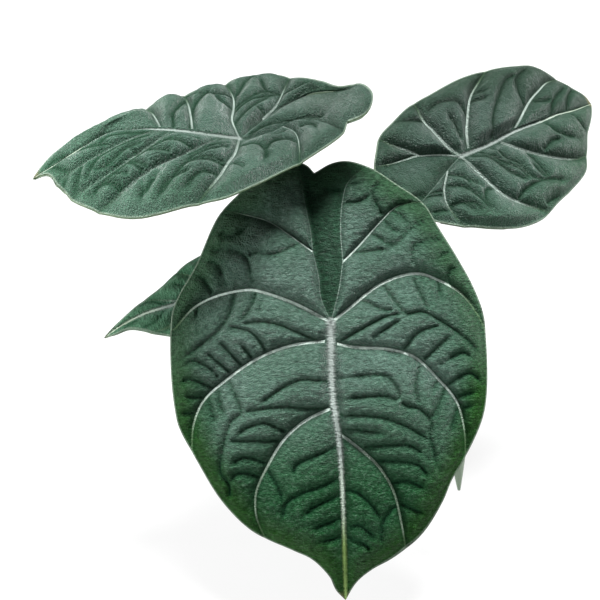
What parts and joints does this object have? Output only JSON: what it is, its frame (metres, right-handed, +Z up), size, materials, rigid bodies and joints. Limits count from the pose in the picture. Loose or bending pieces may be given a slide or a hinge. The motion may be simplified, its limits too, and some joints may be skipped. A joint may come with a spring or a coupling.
{
  "type": "potted maharani alocasia",
  "caption": "Potted shield-leaf alocasia with thick quilted grey-green blades on arching stalks, a young rolled leaf, and a tapered nursery pot filled with soil.",
  "frame": {"origin": "centre of the pot's flat base, on the surface that it rests on", "axes": "+Z up along the pot's axis, -Y towards the front leaf, +X to the right leaf's side as seen from the front"},
  "size_m": [0.2953, 0.2091, 0.2489],
  "materials": {
    "pot": "matte moulded plastic, dark grey",
    "soil": "loose moist potting mix of bark, coir and perlite",
    "leaf": "thick quilted leaf, matte with a soft sheen, pale veins",
    "young_leaf": "young rolled leaf, paler and smoother",
    "stem": "fleshy leaf stalk, satin"
  },
  "bodies": {
    "root": {"pot": "pot", "soil": "soil", "leaf_front": "leaf", "leaf_left": "leaf", "leaf_right": "leaf", "leaf_back": "leaf", "leaf_young": "young_leaf", "stem_front": "stem", "stem_left": "stem", "stem_right": "stem", "stem_back": "stem", "stem_young": "stem"}
  },
  "joints": []
}
